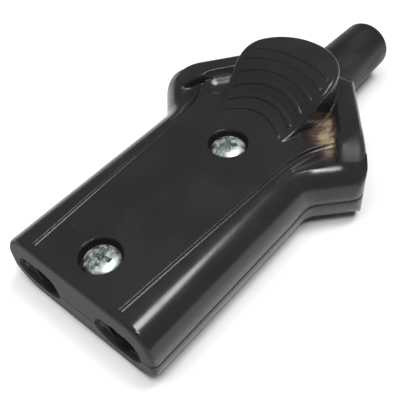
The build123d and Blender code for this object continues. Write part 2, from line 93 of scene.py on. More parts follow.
# Levels between which each mask goes from nothing to all.
PATCH_LEVELS = (0.40, 0.70)
SPECK_LEVELS = (0.72, 0.80)
SCRATCH_LEVELS = (0.62, 0.74)
STREAK_LEVELS = (0.30, 0.70)
# The brown stain and the pale rub in the finger hollow are partly wear and partly a painted warm reflection.
STAIN_AND_SHEEN_LEVELS = (0.02, 0.30)
BARE_AND_SHEEN_LEVELS = (0.22, 0.80)

# How patterns are drawn out along each axis, and how weak and strong the streaks of the rub and its painted
# warm reflection are.
SCRATCH_STRETCH = (1.0, 0.06, 1.0)
BLOOM_STRETCH = (1.0, 0.3, 1.0)
STREAK_STRETCH = (3.0, 0.7, 0.7)
STREAK_SCALE = 1.8
STREAK_SHARES = (0.45, 1.25)

# Rays that look for corners and for edges.
CORNER_SAMPLES = 8
EDGE_SAMPLES = 10

# Points round each turned piece, steps of its roundings, and the angle from which an edge stays sharp.
SLEEVE_POINTS, SCREW_POINTS, BLANK_POINTS, BORE_POINTS = 96, 64, 72, 48
TIP_STEPS, LIP_STEPS, DOME_STEPS = 8, 6, 12
SLEEVE_SHARP, SCREW_SHARP, CUT_SHARP = math.radians(35), math.radians(40), math.radians(30)

# Points closer than this are one point.
DOUBLES = 0.002 * MM

# Thread and its two ends as shares of the pitch, the point as a share of the core, the rim of the head.
ROOT_END, CREST_START, CREST_END, ROOT_START = 0.10, 0.45, 0.60, 0.95
POINT_LENGTH, RUN_OUT = 0.4, 0.3
POINT_RADIUS = 0.75
RIM_INSET, RIM_RISE = 0.96, 0.04

# What is left of the cross recess's length and width at its bottom.
RECESS_TAPER = (0.30, 0.50, 1)

# Floor in metres, and the camera's sensor in millimetres and nearest view in metres.
FLOOR_SIZE = 4.0
FLOOR_ROUGHNESS = 0.9
SENSOR_WIDTH = 36.0
NEAREST_VIEW = 0.01


def length(name, description, millimetres):
    """Length property whose default is given in millimetres."""
    return bpy.props.FloatProperty(
        name=name, description=description, default=millimetres * MM, unit="LENGTH"
    )


def angle(name, description, degrees):
    """Angle property whose default is given in degrees."""
    return bpy.props.FloatProperty(
        name=name, description=description, default=math.radians(degrees), subtype="ANGLE"
    )


def tint(name, description, red, green, blue):
    """Colour property with linear red, green and blue."""
    return bpy.props.FloatVectorProperty(
        name=name, description=description, default=(red, green, blue), size=3, subtype="COLOR",
        min=0.0, max=1.0,
    )


def share(name, description, default):
    """Property between nothing and all."""
    return bpy.props.FloatProperty(
        name=name, description=description, default=default, min=0.0, max=1.0, subtype="FACTOR"
    )


def power(name, description, watts):
    """Power of a lamp in watts."""
    return bpy.props.FloatProperty(name=name, description=description, default=watts, min=0.0, unit="POWER")


def spot(name, description, x, y, z):
    """Place in the part's frame, given in millimetres."""
    return bpy.props.FloatVectorProperty(
        name=name, description=description, default=(x * MM, y * MM, z * MM), size=3, subtype="TRANSLATION"
    )


class CasingFinish(bpy.types.PropertyGroup):
    """Glossy black moulding."""

    body: tint("Body", "Colour of the moulding compound", 0.0198, 0.0194, 0.0192)
    worn: tint("Worn", "Colour where hands have dulled the surface", 0.0250, 0.0242, 0.0236)
    dust: tint("Dust", "Colour of specks of dust", 0.075, 0.068, 0.060)
    speck_share: share("Speck share", "How strongly specks of dust show", 0.6)
    # Share of the brown tint in the grooves that occlusion finds.
    groove_share: share("Groove share", "How strongly dirt in the grooves shows", 0.6)
    gloss: share("Gloss", "Roughness of a clean surface", 0.19)
    handled: share("Handled", "Roughness of a handled surface", 0.26)
    scuff: share("Scuff", "Roughness that fine scratches add", 0.06)
    index: bpy.props.FloatProperty(name="Index", description="Refractive index of the skin", default=1.5)
    edge_radius: length("Edge radius", "Softness of the mould's edges", 0.4)
    wing_radius: length("Wing radius", "Softness of the wings' edges", 1.6)
    wing_start: length("Wing start", "Distance from the middle at which the wings begin", 16.5)
    wing_full: length("Wing full", "Distance from the middle from which the wings are softest", 20.0)
    # Rubbed hollow: pale skin with a brown stain round it, partly wear and partly a painted warm reflection
    # of the golden sheen there.
    rubbed_and_sheen: tint("Rubbed", "Colour where a finger has rubbed the skin away", 0.31, 0.245, 0.165)
    stain_and_sheen: tint("Stain", "Brown colour round the rubbed hollow and in grooves", 0.070, 0.044, 0.034)
    stain_and_sheen_share: share("Stain share", "How strongly the stain round the hollow shows", 0.9)
    rubbed_sheen_place: spot("Rubbed place", "Middle of the rubbed hollow", 14.2, 8.2, 13.9)
    rubbed_sheen_reach: spot("Rubbed reach", "Half the length, width and depth of the rubbed hollow", 8.0, 4.6, 1.8)
    rubbed_sheen_turn: angle("Rubbed turn", "Direction of the rubbed hollow", -47.0)
    flange_height: length("Flange height", "Height at which the finger flanges begin", 14.1)
    flange_gloss: share("Flange gloss", "Roughness of the handled finger flanges", 0.5)
    face_depth: length("Face depth", "How far the dull mating face reaches back", 0.6)
    face_gloss: share("Face gloss", "Roughness of the mating face", 0.62)


class SleeveFinish(bpy.types.PropertyGroup):
    """Dull black rubber sleeve."""

    rubber: tint("Rubber", "Colour of the rubber", 0.0160, 0.0152, 0.0146)
    bloom: tint("Bloom", "Colour of the brownish bloom on old rubber", 0.0280, 0.0248, 0.0225)
    dullness: share("Dullness", "Roughness of the rubber", 0.42)
    bloom_dullness: share("Bloom dullness", "Roughness of the bloom", 0.60)
    shine: share("Shine", "Reflection of the rubber", 0.35)
    bore_radius: length("Bore radius", "Radius of the hole for the cord", 3.4)
    neck_radius: length("Neck radius", "Radius inside the casing's neck", 5.25)
    collar_radius: length("Collar radius", "Radius of the collar held by the casing", 6.0)
    collar_start: length("Collar start", "From the inner end to the collar", 1.6)
    collar_length: length("Collar length", "Length of the collar", 2.6)
    grip: length("Grip", "From the inner end to the rear of the casing", 12.1)
    root_radius: length("Root radius", "Radius behind the casing", 6.2)
    tip_radius: length("Tip radius", "Radius at the tip", 5.65)
    tip_round: length("Tip rounding", "Rounding of the tip's outer edge", 1.1)
    lip_round: length("Lip rounding", "Rounding of the bore's edge", 0.5)


class ScrewShape(bpy.types.PropertyGroup):
    """Casing screws and nuts."""

    head_height: length("Head height", "Height of the head", 2.4)
    dome_drop: length("Dome drop", "Height of the head's rounded part", 1.35)
    crown_radius: length("Crown radius", "Radius of the flat on top of the head", 0.9)
    core_radius: length("Core radius", "Radius at the bottom of the thread", 1.23)
    crest_radius: length("Crest radius", "Radius of the thread", 1.5)
    pitch: length("Pitch", "Distance from thread to thread", 0.5)
    plain_length: length("Plain length", "Shank without a thread under the head", 1.2)
    recess_length: length("Recess length", "Length of the cross recess", 6.0)
    recess_width: length("Recess width", "Width of the cross recess", 1.3)
    recess_depth: length("Recess depth", "Depth of the cross recess", 1.7)
    front_turn: angle("Front turn", "How far the front screw is turned", 16.0)
    rear_turn: angle("Rear turn", "How far the rear screw is turned", 36.0)
    nut_bore: length("Nut bore", "Radius of the nut's hole", 1.52)
    nut_chamfer: length("Nut chamfer", "Height of the chamfer on the nut's corners", 0.32)
    nut_slope: bpy.props.FloatProperty(
        name="Nut slope", description="Width of the nut's chamfer over its height", default=1.8
    )
    nut_spare: length("Nut spare", "How far the turned blank stands beyond the nut", 0.3)
    nut_lead_in: length("Nut lead-in", "Countersink of the nut's hole", 0.25)


class MetalFinish(bpy.types.PropertyGroup):
    """Zinc-plated steel, brass, spring steel and the fibre strap."""

    zinc: tint("Zinc", "Colour of the plating", 0.78, 0.85, 0.85)
    tarnish: tint("Tarnish", "Colour of dulled plating", 0.64, 0.71, 0.70)
    zinc_gloss: share("Zinc gloss", "Roughness of the plating", 0.42)
    tarnish_gloss: share("Tarnish gloss", "Roughness of dulled plating", 0.52)
    tarnish_metal: share("Tarnish metal", "How metallic dulled plating stays", 0.60)
    brass: tint("Brass", "Colour of turned brass", 0.72, 0.50, 0.20)
    dull_brass: tint("Dull brass", "Colour of brass gone dull", 0.42, 0.28, 0.11)
    brass_gloss: share("Brass gloss", "Roughness of turned brass", 0.22)
    dull_brass_gloss: share("Dull brass gloss", "Roughness of brass gone dull", 0.38)
    spring: tint("Spring", "Colour of tempered spring steel", 0.34, 0.34, 0.36)
    dull_spring: tint("Dull spring", "Colour of oiled spring steel", 0.22, 0.22, 0.24)
    spring_gloss: share("Spring gloss", "Roughness of tempered spring steel", 0.25)
    dull_spring_gloss: share("Dull spring gloss", "Roughness of oiled spring steel", 0.40)
    fibre: tint("Fibre", "Colour of the clamp strap", 0.52, 0.49, 0.42)
    dark_fibre: tint("Dark fibre", "Colour of the strap's mottling", 0.36, 0.33, 0.28)
    fibre_gloss: share("Fibre gloss", "Roughness of the clamp strap", 0.50)
    dark_fibre_gloss: share("Dark fibre gloss", "Roughness of the strap's mottling", 0.68)
    # Painted shade: this dark colour is laid where occlusion finds a recess, standing in for the shade inside
    # it.
    recess_shade: tint("Grime", "Colour of dirt in recesses", 0.075, 0.078, 0.074)
    recess_shade_share: share("Grime share", "How strongly dirt in recesses shows", 0.7)


class StageLook(bpy.types.PropertyGroup):
    """Camera, floor and light."""

    camera_place: spot("Camera", "Where the camera stands", 59.42, -73.08, 99.57)
    camera_target: spot("Target", "What the camera looks at", 0.67, -15.29, 7.25)
    camera_roll: angle("Roll", "Turn of the camera about its view", -6.3)
    lens: bpy.props.FloatProperty(
        name="Lens", description="Focal length in millimetres", default=57.46, unit="CAMERA"
    )
    floor: tint("Floor", "Colour of the floor", 0.90, 0.90, 0.90)
    room: share("Room", "Brightness of the dim room", 0.08)
    aim: spot("Aim", "What the lamps point at", 0, 5, 5)
    key_place: spot("Key", "Where the key lamp hangs", 225, 270, 1042)
    key_width: length("Key width", "Width of the key lamp", 374)
    key_power: power("Key power", "Power of the key lamp", 5.3)
    fill_place: spot("Fill", "Where the fill lamp hangs", -100, -250, 1000)
    fill_width: length("Fill width", "Width of the fill lamp", 1000)
    fill_power: power("Fill power", "Power of the fill lamp", 8.5)
    side_place: spot("Side", "Where the small side lamp hangs", 440, -85, 1000)
    side_width: length("Side width", "Width of the small side lamp", 220)
    side_power: power("Side power", "Power of the small side lamp", 3.2)


def setting(group):
    """One group of the scene's settings."""
    return getattr(bpy.context.scene, group)


def new_group(name, inputs, outputs):
    """Shader node group with named sockets; gives the group and the nodes at its two ends."""
    group = bpy.data.node_groups.new(name, "ShaderNodeTree")
    for socket, kind in inputs.items():
        group.interface.new_socket(name=socket, in_out="INPUT", socket_type=kind)
    for socket, kind in outputs.items():
        group.interface.new_socket(name=socket, in_out="OUTPUT", socket_type=kind)
    return group, group.nodes.new("NodeGroupInput").outputs, group.nodes.new("NodeGroupOutput").inputs


def feed(tree, value, socket):
    """Gives a socket its value, which is a number or comes from another socket."""
    if isinstance(value, bpy.types.NodeSocket):
        tree.links.new(value, socket)
    else:
        socket.default_value = value


def place_group(tree, group, **values):
    """Node group in a material, with its values; gives its outputs."""
    node = tree.nodes.new("ShaderNodeGroup")
    node.node_tree = bpy.data.node_groups[group]
    for name, value in values.items():
        feed(tree, value, node.inputs[name.replace("_", " ").capitalize()])
    return node.outputs


def new_material(name):
    """Material with a Principled shader; gives the material, its tree and the shader."""
    material = bpy.data.materials.new(name)
    material.use_nodes = True
    tree = material.node_tree
    return material, tree, tree.nodes["Principled BSDF"]


def object_pattern(tree, scale=(1, 1, 1)):
    """Object coordinates through a Mapping node."""
    coordinates = tree.nodes.new("ShaderNodeTexCoord")
    return stretched(tree, coordinates.outputs["Object"], scale)


def stretched(tree, vector, scale):
    """Coordinates scaled along each axis."""
    mapping = tree.nodes.new("ShaderNodeMapping")
    mapping.inputs["Scale"].default_value = scale
    tree.links.new(vector, mapping.inputs["Vector"])
    return mapping.outputs["Vector"]


def noise(tree, vector, scale, detail=3.0, roughness=0.55):
    """Noise texture whose scale is a number or comes from a socket; gives its value."""
    node = tree.nodes.new("ShaderNodeTexNoise")
    feed(tree, scale, node.inputs["Scale"])
    node.inputs["Detail"].default_value = detail
    node.inputs["Roughness"].default_value = roughness
    tree.links.new(vector, node.inputs["Vector"])
    return node.outputs["Fac"]


def remap(tree, value, low, high, to_low=0.0, to_high=1.0):
    """Value stretched from one range to another, with smooth ends."""
    node = tree.nodes.new("ShaderNodeMapRange")
    node.interpolation_type = "SMOOTHSTEP"
    feed(tree, low, node.inputs["From Min"])
    feed(tree, high, node.inputs["From Max"])
    node.inputs["To Min"].default_value = to_low
    node.inputs["To Max"].default_value = to_high
    tree.links.new(value, node.inputs["Value"])
    return node.outputs["Result"]


def arithmetic(tree, operation, first, second):
    """Sum, product or other step on a value; the second may be a number."""
    node = tree.nodes.new("ShaderNodeMath")
    node.operation = operation
    tree.links.new(first, node.inputs[0])
    feed(tree, second, node.inputs[1])
    return node.outputs["Value"]


def blend_colours(tree, mask, first, second):
    """Mix of two colours by a mask; each is a colour or comes from a socket."""
    node = tree.nodes.new("ShaderNodeMix")
    node.data_type = "RGBA"
    sockets = [socket for socket in node.inputs if socket.type == "RGBA"]
    for socket, colour in zip(sockets, (first, second)):
        if isinstance(colour, bpy.types.NodeSocket):
            tree.links.new(colour, socket)
        else:
            socket.default_value = (*colour, 1.0)
    tree.links.new(mask, node.inputs["Factor"])
    return next(socket for socket in node.outputs if socket.type == "RGBA")


def along(tree, axis):
    """Object coordinate along one axis."""
    node = tree.nodes.new("ShaderNodeSeparateXYZ")
    tree.links.new(object_pattern(tree), node.inputs["Vector"])
    return node.outputs[axis]


def oval_place(tree, place, reach, turn):
    """Coordinates that are nothing at a place and one at its reach along, across and below a direction."""
    coordinates = tree.nodes.new("ShaderNodeTexCoord")
    mapping = tree.nodes.new("ShaderNodeMapping")
    mapping.vector_type = "TEXTURE"
    mapping.inputs["Location"].default_value = place
    mapping.inputs["Rotation"].default_value = (0.0, 0.0, turn)
    mapping.inputs["Scale"].default_value = reach
    tree.links.new(coordinates.outputs["Object"], mapping.inputs["Vector"])
    return mapping.outputs["Vector"]


def fade_out(tree, vector):
    """Value that falls from one in the middle to nothing at a distance of one."""
    node = tree.nodes.new("ShaderNodeTexGradient")
    node.gradient_type = "SPHERICAL"
    tree.links.new(vector, node.inputs["Vector"])
    return node.outputs["Fac"]


def build_wear_group():
    """Patches where a surface is handled, specks of dust and fine scratches."""
    sockets = {
        "Vector": "NodeSocketVector",
        "Patch scale": "NodeSocketFloat",
        "Speck scale": "NodeSocketFloat",
        "Scratch scale": "NodeSocketFloat",
    }
    masks = {name: "NodeSocketFloat" for name in ("Patches", "Specks", "Scratches")}
    group, given, result = new_group("surface_wear", sockets, masks)
    place = given["Vector"]
    patches = remap(group, noise(group, place, given["Patch scale"]), *PATCH_LEVELS)
    specks = remap(group, noise(group, place, given["Speck scale"], detail=1.0), *SPECK_LEVELS)
    drawn_out = stretched(group, place, SCRATCH_STRETCH)
    scratches = remap(group, noise(group, drawn_out, given["Scratch scale"], detail=2.0), *SCRATCH_LEVELS)
    group.links.new(patches, result["Patches"])
    group.links.new(specks, result["Specks"])
    group.links.new(scratches, result["Scratches"])


def build_grain_group():
    """Height of a slightly wavy surface with a fine grain."""
    sockets = {
        "Vector": "NodeSocketVector",
        "Wave scale": "NodeSocketFloat",
        "Grain scale": "NodeSocketFloat",
        "Grain share": "NodeSocketFloat",
    }
    group, given, result = new_group("surface_grain", sockets, {"Height": "NodeSocketFloat"})
    waves = noise(group, given["Vector"], given["Wave scale"], detail=2.0)
    grain = noise(group, given["Vector"], given["Grain scale"], detail=2.0)
    grain = arithmetic(group, "MULTIPLY", grain, given["Grain share"])
    group.links.new(arithmetic(group, "ADD", waves, grain), result["Height"])


def build_corner_group():
    """Mask of the corners and grooves in which ambient occlusion finds shade; the metals paint shade with it
    and the casing a brown tint.
    """
    sockets = {name: "NodeSocketFloat" for name in ("Reach", "Open", "Closed")}
    group, given, result = new_group("corner_shade_mask", sockets, {"Mask": "NodeSocketFloat"})
    node = group.nodes.new("ShaderNodeAmbientOcclusion")
    node.samples = CORNER_SAMPLES
    group.links.new(given["Reach"], node.inputs["Distance"])
    free = node.outputs["AO"]
    group.links.new(remap(group, free, given["Closed"], given["Open"], 1.0, 0.0), result["Mask"])


def build_relief_group():
    """Normal of a surface with softened edges and a fine relief."""
    sockets = {name: "NodeSocketFloat" for name in ("Height", "Radius", "Depth", "Strength")}
    group, given, result = new_group("soft_relief", sockets, {"Normal": "NodeSocketVector"})
    edges = group.nodes.new("ShaderNodeBevel")
    edges.samples = EDGE_SAMPLES
    relief = group.nodes.new("ShaderNodeBump")
    group.links.new(given["Radius"], edges.inputs["Radius"])
    group.links.new(given["Height"], relief.inputs["Height"])
    group.links.new(given["Depth"], relief.inputs["Distance"])
    group.links.new(given["Strength"], relief.inputs["Strength"])
    group.links.new(edges.outputs["Normal"], relief.inputs["Normal"])
    group.links.new(relief.outputs["Normal"], result["Normal"])


def surface(tree, vector, kind):
    """Wear masks and relief height of one kind of surface."""
    wear = place_group(tree, "surface_wear", vector=vector, **WEAR[kind])
    grain = place_group(tree, "surface_grain", vector=vector, **GRAIN[kind])
    return wear, grain["Height"]


def roughen(tree, shader, **relief):
    """Gives a shader its softened edges and its relief."""
    tree.links.new(place_group(tree, "soft_relief", **relief)["Normal"], shader.inputs["Normal"])


def casing_colour(tree, finish, wear):
    """Black with specks, a brown tint in the grooves that occlusion finds, and a rubbed brown hollow that is
    partly wear and partly a painted warm reflection.
    """
    body = blend_colours(tree, wear["Patches"], finish.body, finish.worn)
    specks = arithmetic(tree, "MULTIPLY", wear["Specks"], finish.speck_share)
    specked = blend_colours(tree, specks, body, finish.dust)
    # Brown tint in the grooves and corners that occlusion finds.
    corner_shade = place_group(tree, "corner_shade_mask", **GROOVES)
    grooves = arithmetic(tree, "MULTIPLY", corner_shade["Mask"], finish.groove_share)
    dusted = blend_colours(tree, grooves, specked, finish.stain_and_sheen)
    # Rubbed finger hollow: a streaky patch, pale in the middle and brown round it, partly wear and partly a
    # painted warm reflection.
    hollow = oval_place(tree, finish.rubbed_sheen_place, finish.rubbed_sheen_reach, finish.rubbed_sheen_turn)
    streaky = noise(tree, stretched(tree, hollow, STREAK_STRETCH), STREAK_SCALE)
    streaks = remap(tree, streaky, *STREAK_LEVELS, *STREAK_SHARES)
    rub_and_sheen = arithmetic(tree, "MULTIPLY", fade_out(tree, hollow), streaks)
    stain_and_sheen = remap(tree, rub_and_sheen, *STAIN_AND_SHEEN_LEVELS, 0.0, finish.stain_and_sheen_share)
    with_stain_and_sheen = blend_colours(tree, stain_and_sheen, dusted, finish.stain_and_sheen)
    return blend_colours(tree, remap(tree, rub_and_sheen, *BARE_AND_SHEEN_LEVELS), with_stain_and_sheen, finish.rubbed_and_sheen)


def casing_roughness(tree, finish, wear, wings):
    """Gloss with handled patches and scratches, a dull mating face and dull finger flanges."""
    clean = remap(tree, wear["Patches"], 0.0, 1.0, finish.gloss, finish.handled)
    scuffs = arithmetic(tree, "MULTIPLY", wear["Scratches"], finish.scuff)
    scuffed = arithmetic(tree, "ADD", clean, scuffs)
    face = CAD_BOUNDS[0][1] + finish.face_depth
    dulled = remap(tree, along(tree, "Y"), face, face + finish.edge_radius, finish.face_gloss, 0.0)
    top = finish.flange_height + finish.edge_radius
    raised = remap(tree, along(tree, "Z"), finish.flange_height, top, 0.0, finish.flange_gloss)
    gripped = arithmetic(tree, "MULTIPLY", raised, wings)
    return arithmetic(tree, "MAXIMUM", arithmetic(tree, "MAXIMUM", scuffed, dulled), gripped)


def casing_material():
    """Glossy black moulding with handling marks, dust, a rubbed hollow with a painted warm reflection, slight
    waviness and softened edges.
    """
    finish = setting("connector_casing")
    material, tree, shader = new_material("black_moulding")
    wear, height = surface(tree, object_pattern(tree), "casing")
    sideways = arithmetic(tree, "ABSOLUTE", along(tree, "X"), 0.0)
    span = (finish.wing_start, finish.wing_full)
    wings = remap(tree, sideways, *span)
    tree.links.new(casing_colour(tree, finish, wear), shader.inputs["Base Color"])
    tree.links.new(casing_roughness(tree, finish, wear, wings), shader.inputs["Roughness"])
    softness = remap(tree, sideways, *span, finish.edge_radius, finish.wing_radius)
    roughen(tree, shader, height=height, radius=softness, **CASING_RELIEF)
    shader.inputs["IOR"].default_value = finish.index
    return material


def rubber_material():
    """Dull rubber with a brownish bloom drawn out along the sleeve and a fine grain."""
    finish = setting("connector_sleeve")
    material, tree, shader = new_material("sleeve_rubber")
    wear, height = surface(tree, object_pattern(tree, BLOOM_STRETCH), "rubber")
    colour = blend_colours(tree, wear["Patches"], finish.rubber, finish.bloom)
    dullness = remap(tree, wear["Patches"], 0.0, 1.0, finish.dullness, finish.bloom_dullness)
    tree.links.new(colour, shader.inputs["Base Color"])
    tree.links.new(dullness, shader.inputs["Roughness"])
    roughen(tree, shader, height=height, **DULL_RELIEF)
    shader.inputs["Specular IOR Level"].default_value = finish.shine
    return material


def metal_material(name, clean, dull, gloss, dull_gloss, bare=1.0):
    """Metal with blotches of duller finish and painted shade in its recesses; bare is how metallic the
    blotches stay.
    """
    finish = setting("connector_metal")
    material, tree, shader = new_material(name)
    wear, height = surface(tree, object_pattern(tree), "metal")
    blotched = blend_colours(tree, wear["Patches"], clean, dull)
    # Painted shade: darker colour in the recesses, such as the screw heads' cross recess, placed by
    # occlusion.
    corner_shade = place_group(tree, "corner_shade_mask", **RECESSES)
    recess_shade = arithmetic(tree, "MULTIPLY", corner_shade["Mask"], finish.recess_shade_share)
    tree.links.new(blend_colours(tree, recess_shade, blotched, finish.recess_shade), shader.inputs["Base Color"])
    tree.links.new(remap(tree, wear["Patches"], 0.0, 1.0, gloss, dull_gloss), shader.inputs["Roughness"])
    shader.inputs["Metallic"].default_value = 1.0
    if bare < 1.0:
        tree.links.new(remap(tree, wear["Patches"], 0.0, 1.0, 1.0, bare), shader.inputs["Metallic"])
    roughen(tree, shader, height=height, **METAL_RELIEF)
    return material


def fibre_material():
    """Mottled moulded strap."""
    finish = setting("connector_metal")
    material, tree, shader = new_material("clamp_fibre")
    wear, height = surface(tree, object_pattern(tree), "fibre")
    colour = blend_colours(tree, wear["Patches"], finish.fibre, finish.dark_fibre)
    gloss = remap(tree, wear["Patches"], 0.0, 1.0, finish.fibre_gloss, finish.dark_fibre_gloss)
    tree.links.new(colour, shader.inputs["Base Color"])
    tree.links.new(gloss, shader.inputs["Roughness"])
    roughen(tree, shader, height=height, **DULL_RELIEF)
    return material


def dress(piece, material):
    """Puts a material on a piece."""
    piece.data.materials.clear()
    piece.data.materials.append(material)


def choose(piece):
    """Makes a piece the only one selected, and the active one."""
    bpy.ops.object.select_all(action="DESELECT")
    piece.select_set(True)
    bpy.context.view_layer.objects.active = piece


def start_ring(name, points, height, radius, filled):
    """Adds a ring of points about the upright axis, and opens it for editing."""
    bpy.ops.object.select_all(action="DESELECT")
    fill = "NGON" if filled else "NOTHING"
    bpy.ops.mesh.primitive_circle_add(
        vertices=points, radius=radius, fill_type=fill, location=(0, 0, height)
    )
    piece = bpy.context.active_object
    piece.name = name
    bpy.ops.object.transform_apply(location=True, rotation=True, scale=True)
    bpy.ops.object.mode_set(mode="EDIT")
    bpy.ops.mesh.select_all(action="SELECT")
    return piece


def raise_rings(profile):
    """Extrudes the selected ring or disc through the heights and radii of a profile."""
    height, radius = profile[0]
    for next_height, next_radius in profile[1:]:
        bpy.ops.mesh.extrude_region_move(TRANSFORM_OT_translate={"value": (0, 0, next_height - height)})
        growth = next_radius / radius
        bpy.ops.transform.resize(value=(growth, growth, 1), center_override=(0, 0, 0))
        height, radius = next_height, next_radius


def close_piece(piece, sharp_angle):
    """Merges doubled points, turns the faces outwards and leaves edit mode with smooth shading."""
    bpy.ops.mesh.select_all(action="SELECT")
    bpy.ops.mesh.remove_doubles(threshold=DOUBLES)
    bpy.ops.mesh.normals_make_consistent(inside=False)
    bpy.ops.object.mode_set(mode="OBJECT")
    choose(piece)
    bpy.ops.object.shade_smooth_by_angle(angle=sharp_angle)


def combine(piece, tool, operation):
    """Cuts a piece with a tool, or keeps what both share, and removes the tool."""
    modifier = piece.modifiers.new("cut", "BOOLEAN")
    modifier.operation = operation
    modifier.solver = "EXACT"
    modifier.object = tool
    choose(piece)
    bpy.ops.object.modifier_apply(modifier=modifier.name)
    spare = tool.data
    bpy.data.objects.remove(tool)
    bpy.data.meshes.remove(spare)


def clean_cuts(piece):
    """Merges the slivers that cuts leave, splits the faces into triangles and smooths the curved ones."""
    choose(piece)
    bpy.ops.object.mode_set(mode="EDIT")
    bpy.ops.mesh.select_all(action="SELECT")
    bpy.ops.mesh.remove_doubles(threshold=DOUBLES)
    bpy.ops.mesh.dissolve_degenerate(threshold=DOUBLES)
    bpy.ops.mesh.quads_convert_to_tris(quad_method="BEAUTY", ngon_method="BEAUTY")
    bpy.ops.object.mode_set(mode="OBJECT")
    bpy.ops.object.shade_smooth_by_angle(angle=CUT_SHARP)


def arc(centre, radius, first, last, steps):
    """Points of an arc as heights and radii; the angle runs from outwards, 0, to upwards, 90 degrees."""
    turns = [math.radians(first + (last - first) * step / steps) for step in range(steps + 1)]
    return [(centre[0] + radius * math.sin(turn), centre[1] + radius * math.cos(turn)) for turn in turns]


def put(piece, place, turn=0.0):
    """Moves a piece to its place and leaves its object at the origin."""
    choose(piece)
    piece.location = place
    piece.rotation_euler = (0, 0, turn)
    bpy.ops.object.transform_apply(location=True, rotation=True, scale=True)


def copy_piece(piece, name):
    """Copy of a piece with its own mesh."""
    copy = piece.copy()
    copy.data = piece.data.copy()
    copy.name = name
    bpy.context.scene.collection.objects.link(copy)
    return copy


def stand_for(piece, node, material):
    """Lets a finished piece take a CAD node's place on the body."""
    dress(piece, material)
    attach(piece, "root")
    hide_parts(node)


def model_sleeve(low, high):
    """Rubber sleeve about the upright axis: neck, collar, tapering outside and rounded tip."""
    shape = setting("connector_sleeve")
    end = high[1] - low[1]
    collar_end = shape.collar_start + shape.collar_length
    tip_edge = (end - shape.tip_round, shape.tip_radius - shape.tip_round)
    lip_edge = (end - shape.lip_round, shape.bore_radius + shape.lip_round)
    profile = [
        (0.0, shape.bore_radius),
        (0.0, shape.neck_radius),
        (shape.collar_start, shape.neck_radius),
        (shape.collar_start, shape.collar_radius),
        (collar_end, shape.collar_radius),
        (collar_end, shape.neck_radius),
        (shape.grip, shape.neck_radius),
        (shape.grip, shape.root_radius),
        *arc(tip_edge, shape.tip_round, 0, 90, TIP_STEPS),
        *arc(lip_edge, shape.lip_round, 90, 180, LIP_STEPS),
        (0.0, shape.bore_radius),
    ]
    sleeve = start_ring("rubber_sleeve", SLEEVE_POINTS, *profile[0], filled=False)
    raise_rings(profile)
    close_piece(sleeve, SLEEVE_SHARP)
    sleeve.rotation_euler = (-math.pi / 2, 0, 0)
    sleeve.location = ((low[0] + high[0]) / 2, low[1], (low[2] + high[2]) / 2)
    bpy.ops.object.transform_apply(location=True, rotation=True, scale=True)
    return sleeve


def recess_bar(turn):
    """One arm of the cross recess, narrowing as it goes down."""
    shape = setting("connector_screws")
    bpy.ops.object.select_all(action="DESELECT")
    bpy.ops.mesh.primitive_cube_add(size=1)
    bar = bpy.context.active_object
    bar.scale = (shape.recess_length, shape.recess_width, 2 * shape.recess_depth)
    bpy.ops.object.transform_apply(location=True, rotation=True, scale=True)
    bpy.ops.object.mode_set(mode="EDIT")
    bpy.ops.mesh.select_all(action="DESELECT")
    bpy.ops.object.mode_set(mode="OBJECT")
    for point in bar.data.vertices:
        point.select = point.co.z < 0
    bpy.ops.object.mode_set(mode="EDIT")
    bpy.ops.transform.resize(value=RECESS_TAPER, center_override=(0, 0, 0))
    bpy.ops.object.mode_set(mode="OBJECT")
    put(bar, (0, 0, 0), turn)
    return bar


def model_screw(low, high):
    """Pan-head screw about the upright axis, its head's top at the origin."""
    shape = setting("connector_screws")
    seat = -shape.head_height
    tip = low[2] - high[2]
    head = (high[0] - low[0]) / 2
    core, crest, pitch = shape.core_radius, shape.crest_radius, shape.pitch
    profile = [(tip, POINT_RADIUS * core), (tip + POINT_LENGTH * pitch, core)]
    height = profile[-1][0]
    while height + pitch < seat - shape.plain_length:
        profile += [
            (height + ROOT_END * pitch, core),
            (height + CREST_START * pitch, crest),
            (height + CREST_END * pitch, crest),
            (height + ROOT_START * pitch, core),
        ]
        height += pitch
    profile += [
        (seat - shape.plain_length, core),
        (seat - shape.plain_length + RUN_OUT * pitch, crest),
        (seat, crest),
        (seat, RIM_INSET * head),
        (seat + RIM_RISE * head, head),
        (-shape.dome_drop, head),
    ]
    swell = head - shape.crown_radius
    for step in range(1, DOME_STEPS + 1):
        turn = math.radians(90 * step / DOME_STEPS)
        rise = shape.dome_drop * (math.sin(turn) - 1)
        profile.append((rise, shape.crown_radius + swell * math.cos(turn)))
    screw = start_ring("front_pan_screw", SCREW_POINTS, *profile[0], filled=True)
    raise_rings(profile)
    close_piece(screw, SCREW_SHARP)
    for turn in (0.0, math.pi / 2):
        combine(screw, recess_bar(turn), "DIFFERENCE")
    clean_cuts(screw)
    return screw


